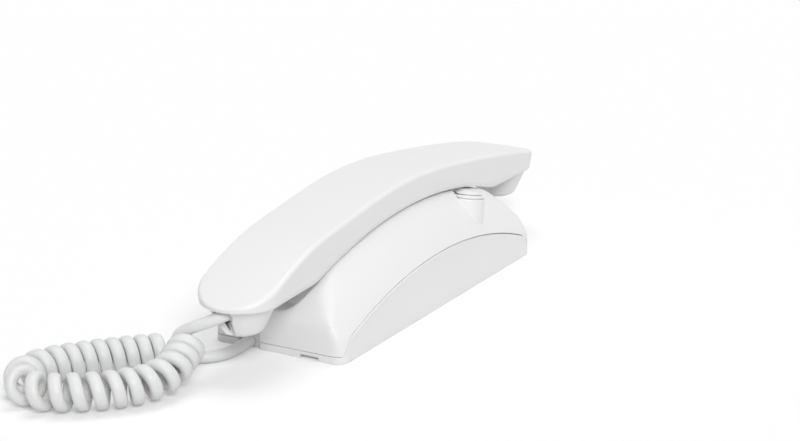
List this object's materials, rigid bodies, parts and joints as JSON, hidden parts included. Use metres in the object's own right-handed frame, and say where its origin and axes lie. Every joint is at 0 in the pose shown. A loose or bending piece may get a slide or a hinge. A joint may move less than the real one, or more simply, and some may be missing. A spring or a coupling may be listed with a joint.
{
  "type": "audio intercom handset",
  "caption": "White audio intercom unit: a slim handset lying along an arched wall base, with a domed door release button on its shoulder and a curly cord.",
  "frame": {"origin": "middle of the base's flat back, on the wall or desk", "axes": "+Y from the mouth end to the ear end, +Z away from the wall, +X to the door button's side"},
  "size_m": [0.0907, 0.2873, 0.0515],
  "materials": {
    "white_plastic": "smooth gloss",
    "white_cord": "smooth satin",
    "steel": "zinc plated",
    "spring_steel": "bright",
    "green_board": "satin solder mask",
    "black_plastic": "matte",
    "terminal_green": "satin",
    "black_rubber": "matte",
    "aluminium_can": "satin"
  },
  "bodies": {
    "base": {"base_lower_casing": "white_plastic", "base_upper_casing": "white_plastic", "case_screws": "steel", "circuit_board": "green_board", "board_screws": "steel", "board_chip": "black_plastic", "board_capacitors": "aluminium_can", "lead_connector": "terminal_green", "terminal_block": "terminal_green", "terminal_screws": "steel", "call_buzzer": "black_plastic", "hook_switch": "black_plastic", "hook_bracket": "black_plastic", "hook_spring": "spring_steel", "button_bezel": "white_plastic", "door_switch_body": "black_plastic", "button_board": "green_board", "base_cord_grommet": "white_cord", "base_lead": "white_cord", "cord_tail_base": "white_cord", "cord_coil": "white_cord", "cord_tail_handset": "white_cord"},
    "handset": {"handset_outer_cover": "white_plastic", "handset_inner_shell": "white_plastic", "handset_screws": "steel", "handset_cord_gland": "white_cord", "earpiece_capsule": "black_plastic", "earpiece_gasket": "black_rubber", "microphone_boot": "black_rubber", "microphone_capsule": "aluminium_can"},
    "plunger": {"hook_plunger": "white_plastic"},
    "button": {"door_button": "white_plastic", "door_stem": "black_plastic"}
  },
  "joints": [
    {"name": "handset_lift", "type": "slide", "parent": "base", "child": "handset", "axis": [0, 0, 1], "range_m": [0, 0.03]},
    {"name": "hook_plunger_rise", "type": "slide", "parent": "base", "child": "plunger", "axis": [0, 0, 1], "range_m": [0, 0.0025], "deforming": ["hook_spring"]},
    {"name": "door_button_press", "type": "slide", "parent": "base", "child": "button", "axis": [0, -0.187, -0.9824], "range_m": [0, 0.0012], "stiffness_N_per_m": 600}
  ],
  "couplings": [
    {"joint": "hook_plunger_rise", "follows": "handset_lift", "ratio": 0.0833}
  ]
}
